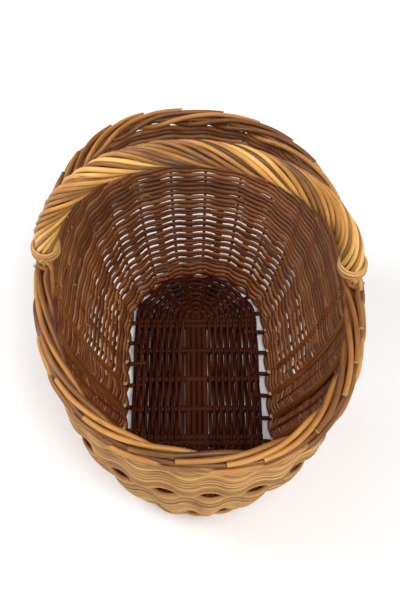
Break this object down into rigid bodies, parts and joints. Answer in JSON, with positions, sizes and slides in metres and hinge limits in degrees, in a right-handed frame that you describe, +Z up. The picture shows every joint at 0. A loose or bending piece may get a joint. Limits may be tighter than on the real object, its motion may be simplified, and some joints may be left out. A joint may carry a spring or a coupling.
{
  "type": "oval wicker basket with roped bow handle",
  "caption": "Open oval basket of woven willow with a rolled border and one fixed roped bow handle across its short axis.",
  "frame": {"origin": "centre of the footprint on the ground", "axes": "+Z up, +Y along the long axis towards the back, +X to the right; the handle bows across X"},
  "size_m": [0.3274, 0.456, 0.3808],
  "materials": {
    "base_willow": "satin",
    "tie_willow": "satin",
    "handle_willow": "satin",
    "border_willow": "satin",
    "stake_willow": "satin",
    "wall_willow": "satin"
  },
  "bodies": {
    "root": {"base_long_sticks": "base_willow", "base_cross_sticks": "base_willow", "base_fan_sticks": "base_willow", "base_weave": "base_willow", "foot_ring": "wall_willow", "stake_roots": "stake_willow", "side_stakes": "stake_willow", "bye_stakes": "stake_willow", "upset_band": "wall_willow", "weave_band_01": "wall_willow", "weave_band_02": "wall_willow", "weave_band_03": "wall_willow", "weave_band_04": "wall_willow", "weave_band_05": "wall_willow", "weave_band_06": "wall_willow", "weave_band_07": "wall_willow", "border_rods": "border_willow", "handle_legs": "handle_willow", "handle_bow": "handle_willow", "handle_rope_1": "handle_willow", "handle_rope_2": "handle_willow", "handle_rope_3": "handle_willow", "handle_rope_4": "handle_willow", "handle_tie_left": "tie_willow", "handle_tie_right": "tie_willow"}
  },
  "joints": []
}
